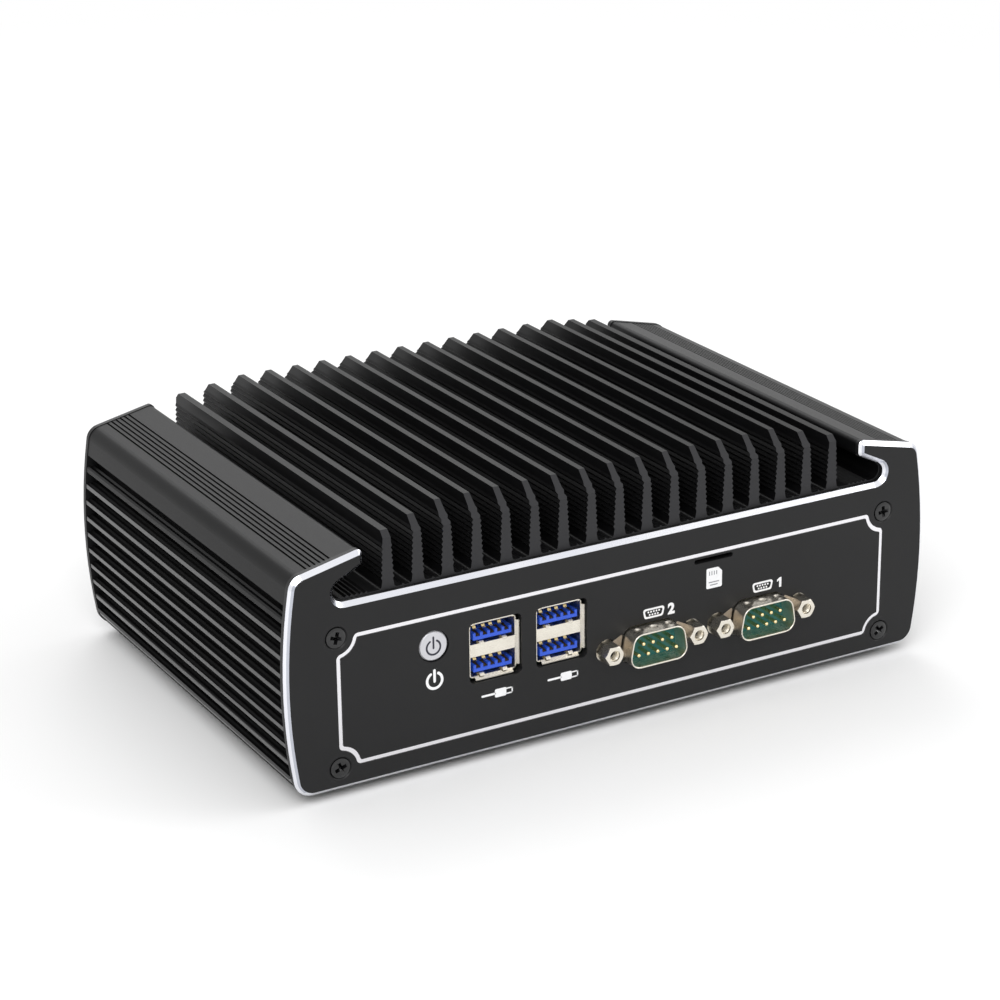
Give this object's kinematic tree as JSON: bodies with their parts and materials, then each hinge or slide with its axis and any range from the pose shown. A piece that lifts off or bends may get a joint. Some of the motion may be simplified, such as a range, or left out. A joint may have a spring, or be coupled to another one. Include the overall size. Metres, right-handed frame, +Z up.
{
  "type": "fanless industrial pc",
  "caption": "Low rectangular computer case: a finned black heatsink body between two chamfered end panels, with data sockets and a power button in front.",
  "frame": {"origin": "under the middle of the whole part, at the bottom of its feet", "axes": "+X to the right along the front panel, +Y from the front panel to the back, +Z up"},
  "size_m": [0.186, 0.1314, 0.0682],
  "materials": {
    "black_anodised": "satin black anodised extrusion",
    "panel_anodised": "satin black anodised plate, bright diamond-cut chamfer and line",
    "black_sheet": "satin black powder coat",
    "black_screw": "black zinc",
    "zinc_steel": "plated",
    "foot_rubber": "matt",
    "circuit_board": "solder resist",
    "brass_post": "turned",
    "chip_black": "moulded",
    "thermal_pad": "soft silicone",
    "bare_aluminium": "milled",
    "black_plastic": "moulded",
    "cell_steel": "drawn",
    "button_silver": "satin silver anodised",
    "nickel": "nickel plated",
    "blue_plastic": "moulded",
    "teal_plastic": "moulded",
    "gold_contact": "gold flashed"
  },
  "bodies": {
    "case": {"antenna_hole_plugs": "black_plastic", "board_screws": "zinc_steel", "board_standoffs": "brass_post", "bottom_cover": "black_sheet", "bottom_cover_screws": "black_screw", "button_board": "circuit_board", "clinch_nuts": "zinc_steel", "coin_cell": "cell_steel", "coin_cell_holder": "black_plastic", "front_panel": "panel_anodised", "front_panel_screws": "black_screw", "heat_block": "bare_aluminium", "heatsink_housing": "black_anodised", "mainboard": "circuit_board", "memory_card": "circuit_board", "memory_socket": "black_plastic", "network_1_insert": "black_plastic", "network_1_shell": "nickel", "network_2_insert": "black_plastic", "network_2_shell": "nickel", "power_inlet": "black_plastic", "power_inlet_pin": "nickel", "processor": "chip_black", "rear_panel": "panel_anodised", "rear_panel_screws": "black_screw", "rubber_feet": "foot_rubber", "serial_1_insulator": "teal_plastic", "serial_1_jack_nuts": "nickel", "serial_1_pins": "gold_contact", "serial_1_shell": "nickel", "serial_2_insulator": "teal_plastic", "serial_2_jack_nuts": "nickel", "serial_2_pins": "gold_contact", "serial_2_shell": "nickel", "serial_board": "circuit_board", "serial_header": "black_plastic", "sim_board": "circuit_board", "sim_board_posts": "brass_post", "sim_holder": "zinc_steel", "sound_jacks": "black_plastic", "storage_card": "circuit_board", "storage_socket": "black_plastic", "tact_switch": "zinc_steel", "thermal_pads": "thermal_pad", "usb_1_contacts": "gold_contact", "usb_1_shell": "nickel", "usb_1_tongues": "blue_plastic", "usb_2_contacts": "gold_contact", "usb_2_shell": "nickel", "usb_2_tongues": "blue_plastic", "video_1_shell": "nickel", "video_1_tongue": "black_plastic", "video_2_shell": "nickel", "video_2_tongue": "black_plastic"},
    "button": {"power_button": "button_silver", "switch_plunger": "black_plastic"}
  },
  "joints": [
    {"name": "power_button_press", "type": "slide", "parent": "case", "child": "button", "axis": [0, 1, 0], "range_m": [0, 0.0008], "stiffness_N_per_m": 1000, "springref_m": -0.0005}
  ]
}
